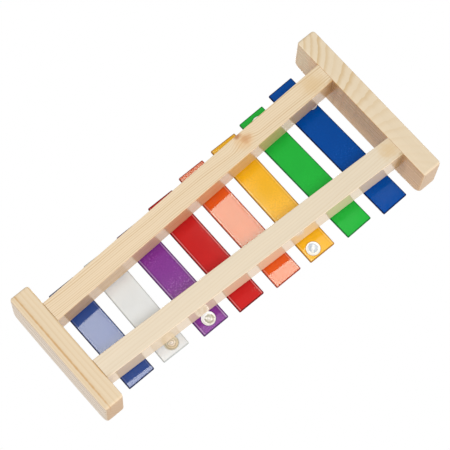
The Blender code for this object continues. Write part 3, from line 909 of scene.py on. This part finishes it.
# Screws, with soft collars under their heads
screwShape = {
    "shank": 0.0015, "reach": 0.0220, "tip": 0.003, "head": 0.0036, "rim": 0.0007, "height": 0.0021,
    "recessReach": 0.0019, "recessWidth": 0.0007, "recessDepth": 0.0009,
    "ease": 0.00015, "rimEase": 0.0001, "domeSteps": 8, "sides": 36,
}
collarShape = {"bore": 0.0018, "ease": 0.00018, "sides": 36}
firstTurn, nextTurn = 0.35, 0.83  # no two screws stopped at the same angle

zincFinish = {"pale": (214, 214, 212), "dull": (178, 180, 184), "bump": 0.15, "bumpDepth": 0.00005}
rubberFinish = {"pale": (52, 51, 50), "dark": (30, 30, 32), "bump": 0.3, "bumpDepth": 0.00004}


def zincMaterial():
    material, tree, shader = newMaterial("screw_zinc")
    point = put(tree, "ShaderNodeTexCoord").outputs["Object"]
    cloud = noise(tree, point, 700.0, 3.0)
    scratches = noise(tree, vectorCalc(tree, "MULTIPLY", point, (1.0, 9.0, 1.0)), 900.0, 3.0)
    colour = blend(tree, ramp(tree, cloud, 0.3, 0.7), tone(zincFinish["dull"]), tone(zincFinish["pale"]))
    finish(tree, shader, colour, calc(tree, "MULTIPLY_ADD", scratches, 0.25, 0.14), scratches, zincFinish)
    shader.inputs["Metallic"].default_value = 1.0
    return material


def rubberMaterial():
    material, tree, shader = newMaterial("collar_rubber")
    point = put(tree, "ShaderNodeTexCoord").outputs["Object"]
    cloud = noise(tree, point, 500.0, 3.0)
    grain = noise(tree, point, 4000.0, 2.0)
    colour = blend(tree, ramp(tree, cloud, 0.35, 0.7), tone(rubberFinish["dark"]), tone(rubberFinish["pale"]))
    finish(tree, shader, colour, calc(tree, "MULTIPLY_ADD", grain, 0.2, 0.55), grain, rubberFinish)
    return material


def screwMesh():
    shape = screwShape
    head, ease, steps = shape["head"], shape["ease"], shape["domeSteps"]
    profile = [
        (0, -shape["reach"]), (shape["shank"], -shape["reach"] + shape["tip"]), (shape["shank"], 0),
        (head - ease, 0), (head, ease), (head, shape["rim"] - shape["rimEase"]),
    ]
    dome = shape["height"] - shape["rim"]
    for step in range(1, steps):
        angle = math.radians(90 * step / steps)
        profile.append((head * math.cos(angle), shape["rim"] + dome * math.sin(angle)))
    profile.append((0, shape["height"]))
    bm = bmesh.new()
    lathe(bm, profile, (0, 0, 0), shape["sides"])
    screw = addObject("screw_pattern", bm)
    half, arm = shape["recessWidth"] / 2, shape["recessReach"]
    cross = []
    for turn in range(4):
        for x, y in ((half, half), (half, arm), (-half, arm)):
            for _ in range(turn):
                x, y = -y, x
            cross.append((x, y))
    recess = bmesh.new()
    prism(recess, cross, "Z", shape["height"] - shape["recessDepth"], shape["height"] + cutOverrun)
    cut(screw, recess, "driver_recess")
    applyModifiers(screw, 35)
    return takeMesh(screw)


def collarMesh():
    low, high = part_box("collar_green_front")
    outer, height = (high.x - low.x) / 2, high.z - low.z
    bore, ease = collarShape["bore"], collarShape["ease"]
    profile = [(bore, 0), (outer - ease, 0), (outer, ease), (outer, height - ease), (outer - ease, height),
               (bore, height)]
    bm = bmesh.new()
    lathe(bm, profile, (0, 0, 0), collarShape["sides"])
    collar = addObject("collar_pattern", bm)
    applyModifiers(collar, 50)
    return takeMesh(collar)


def makeFastenings():
    screw, collar = screwMesh(), collarMesh()
    giveFinish(screw, zincMaterial())
    giveFinish(collar, rubberMaterial())
    turn = firstTurn
    for name in bars:
        for side in ("front", "rear"):
            for kind, mesh, slot in (("screw", screw, "zinc_steel"), ("collar", collar, "collar_rubber")):
                node = kind + "_" + name + "_" + side
                low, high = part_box(node)
                base = high.z - screwShape["height"] if kind == "screw" else low.z
                piece = link("fine_" + node, mesh)
                piece.location = ((low.x + high.x) / 2, (low.y + high.y) / 2, base)
                piece.rotation_euler = (0, 0, turn)
                keepFacesFlat(piece)
                standFor(piece, node, "frame", slot)
            turn += nextTurn


makeFastenings()
print("screws and collars made")


# Felt strips on the rails, with a slightly uneven nap
feltShape = {
    "width": 0.009, "corner": 0.0005, "cornerSteps": 3, "lengthSteps": 220, "nap": 0.00008,
    "hole": 0.0018, "holeSides": 24,
}
feltFinish = {
    "dark": (36, 34, 34), "wool": (58, 56, 54), "tuft": (84, 82, 80), "bump": 0.6, "bumpDepth": 0.0002,
}


def feltMaterial():
    material, tree, shader = newMaterial("strip_felt")
    point = put(tree, "ShaderNodeTexCoord").outputs["Object"]
    curl = noise(tree, point, 900.0, 6.0, 0.7)
    tuft = noise(tree, point, 3800.0, 3.0, 0.6)
    colour = blend(tree, ramp(tree, curl, 0.3, 0.7), tone(feltFinish["dark"]), tone(feltFinish["wool"]))
    colour = blend(tree, ramp(tree, tuft, 0.62, 0.75), colour, tone(feltFinish["tuft"]))
    roughness = calc(tree, "MULTIPLY_ADD", tuft, 0.1, 0.88)
    finish(tree, shader, colour, roughness, calc(tree, "ADD", curl, tuft), feltFinish)
    return material


def feltSection(thickness):  # across the strip, with rounded upper corners
    half, corner, steps = feltShape["width"] / 2, feltShape["corner"], feltShape["cornerSteps"]
    section = [(-half, 0), (half, 0)] + arc(half - corner, thickness - corner, corner, 0, 90, steps)
    section += [(half * share, thickness) for share in (0.5, 0.0, -0.5)]
    return section + arc(-half + corner, thickness - corner, corner, 90, 180, steps)


def makeFelt(node, side, material):
    low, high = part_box(node)
    wideX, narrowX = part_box("wide_end_block")[1].x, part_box("narrow_end_block")[0].x
    thickness = high.z - low.z
    section = feltSection(thickness)
    bm = bmesh.new()
    rows = []
    for step in range(feltShape["lengthSteps"] + 1):
        x = low.x + (high.x - low.x) * step / feltShape["lengthSteps"]
        share = (x - wideX) / (narrowX - wideX)
        middle = side * (railShape["wideSpread"] * (1 - share) + railShape["narrowSpread"] * share)
        row = []
        for index, (y, z) in enumerate(section):
            nap = abs(math.sin(step * 2.3 + index * 1.7) * math.sin(step * 0.71 + index)) * feltShape["nap"]
            sink = nap if z > thickness * 0.6 else 0.0
            row.append(bm.verts.new((x, middle + y - math.copysign(nap, y), low.z + z - sink)))
        rows.append(row)
    for first, second in zip(rows, rows[1:]):
        for index in range(len(section)):
            after = (index + 1) % len(section)
            bm.faces.new((first[index], first[after], second[after], second[index]))
    bm.faces.new(rows[0])
    bm.faces.new(reversed(rows[-1]))
    strip = addObject("felt_" + node, bm)
    drill = bmesh.new()
    radius, bottom, top = feltShape["hole"], low.z - cutOverrun, high.z + cutOverrun
    for name in bars:
        spot = screwSpot(name, "front" if side < 0 else "rear")
        hole = [(0, bottom), (radius, bottom), (radius, top), (0, top)]
        lathe(drill, hole, (spot.x, spot.y, 0), feltShape["holeSides"])
    cut(strip, drill, node + "_holes")
    applyModifiers(strip, 40)
    giveFinish(strip.data, material)
    standFor(strip, node, "frame", "felt")


felt = feltMaterial()
makeFelt("front_felt_strip", -1, felt)
makeFelt("rear_felt_strip", 1, felt)


# The dowels stay as the CAD has them, inside the joints
dowelFinish = {
    "early": (216, 188, 150), "late": (196, 160, 118), "fleck": (178, 136, 96), "spacing": 0.0021,
    "contrast": 0.25, "fibres": (14.0, 500.0, 500.0), "flecks": (260.0, 2400.0, 2400.0),
    "bump": 0.2, "bumpDepth": 0.0001,
}


def beechMaterial():
    look = dowelFinish
    material, tree, shader = newMaterial("dowel_beech")
    point = put(tree, "ShaderNodeTexCoord").outputs["Object"]
    fibre = vectorCalc(tree, "MULTIPLY", point, look["fibres"])
    flecks = noise(tree, vectorCalc(tree, "MULTIPLY", point, look["flecks"]), 1.0, 2.0)
    grain = place(tree, pineGrain, Fibre_Vector=fibre, Ring_Field=split(tree, point)["Z"],
                  Ring_Spacing=look["spacing"], Ring_Contrast=look["contrast"],
                  Early_Wood=tone(look["early"]), Late_Wood=tone(look["late"]))
    colour = blend(tree, ramp(tree, flecks, 0.6, 0.72), grain["Color"], tone(look["fleck"]))
    finish(tree, shader, colour, grain["Roughness"], grain["Height"], look)
    return material


beech = beechMaterial()
for node, piece in cadNodes.items():
    if node.startswith("dowel_"):
        giveFinish(piece.data, beech)
print("felt strips and dowels made")


# Floor: seen and shaded from above only, so the photograph's view from below
# and the light from below pass through it
def makeFloor():
    size = surround["floorSize"] / 2
    bm = bmesh.new()
    corners = [(-size, -size), (size, -size), (size, size), (-size, size)]
    bm.faces.new([bm.verts.new((x, y, 0)) for x, y in corners])
    floor = addObject("floor", bm, (0, 0, cadBox[0][2] - surround["floorDrop"]))
    material, tree, shader = newMaterial("pale_floor")
    shader.inputs["Base Color"].default_value = tone(surround["floorColour"])
    shader.inputs["Roughness"].default_value = surround["floorRoughness"]
    shader.inputs["Specular IOR Level"].default_value = surround["floorGloss"]
    camera = put(tree, "ShaderNodeLightPath").outputs["Is Camera Ray"]
    back = put(tree, "ShaderNodeNewGeometry").outputs["Backfacing"]
    shown = calc(tree, "MULTIPLY", camera, calc(tree, "SUBTRACT", 1.0, back))
    clear = put(tree, "ShaderNodeBsdfTransparent")
    mixed = put(tree, "ShaderNodeMixShader", {0: shown, 1: clear.outputs[0], 2: shader.outputs[0]})
    tree.links.new(mixed.outputs[0], tree.nodes["Material Output"].inputs["Surface"])
    floor.data.materials.append(material)


def makeLamps():
    for name, lamp in lamps.items():
        width, height = lamp["size"]
        light = bpy.data.lights.new(name, "AREA")
        light.shape = "RECTANGLE"
        light.size = width
        light.size_y = height
        light.energy = lamp["radiance"] * math.pi * width * height
        light.color = lamp.get("colour", (1.0, 1.0, 1.0))
        holder = link(name, light)
        holder.location = lamp["place"]
        if name.startswith("strip"):  # level, facing up
            holder.rotation_euler = (math.pi, 0, 0)
        else:
            holder.rotation_euler = Vector(lamp["place"]).to_track_quat("Z", "Y").to_euler()


def makeSurround():
    world = bpy.data.worlds.new("white_surround")
    bpy.context.scene.world = world
    world.use_nodes = True
    tree = world.node_tree
    tree.nodes.clear()
    path = put(tree, "ShaderNodeLightPath").outputs
    mirrored = calc(tree, "MAXIMUM", path["Is Glossy Ray"], path["Is Transmission Ray"])
    seen = calc(tree, "MAXIMUM", path["Is Camera Ray"], mirrored)
    glow = put(tree, "ShaderNodeBackground", {"Color": (1, 1, 1, 1), "Strength": surround["light"]})
    white = put(tree, "ShaderNodeBackground", {"Color": (1, 1, 1, 1), "Strength": 1.0})
    mixed = put(tree, "ShaderNodeMixShader", {0: seen, 1: glow.outputs[0], 2: white.outputs[0]})
    put(tree, "ShaderNodeOutputWorld", {"Surface": mixed.outputs[0]})


def makeCamera():
    azimuth, elevation, roll = (math.radians(view[key]) for key in ("azimuth", "elevation", "roll"))
    outward = Vector((math.cos(elevation) * math.cos(azimuth), math.cos(elevation) * math.sin(azimuth),
                      math.sin(elevation)))
    sideways = (-outward).cross(Vector((0, 0, 1))).normalized()
    upward = sideways.cross(-outward)
    right = math.cos(roll) * sideways + math.sin(roll) * upward
    up = -math.sin(roll) * sideways + math.cos(roll) * upward
    camera = bpy.data.cameras.new("photo_view")
    camera.lens = view["lens"]
    camera.sensor_width = view["sensor"]
    camera.clip_start = 0.01
    holder = link("photo_view", camera)
    spot = Vector(view["target"]) + outward * view["distance"]
    turned = Matrix((right, up, outward)).transposed().to_4x4()
    holder.matrix_world = Matrix.Translation(spot) @ turned
    bpy.context.scene.camera = holder


makeFloor()
makeLamps()
makeSurround()
makeCamera()
bpy.context.scene.view_settings.view_transform = "Standard"
print("floor, light and camera made")
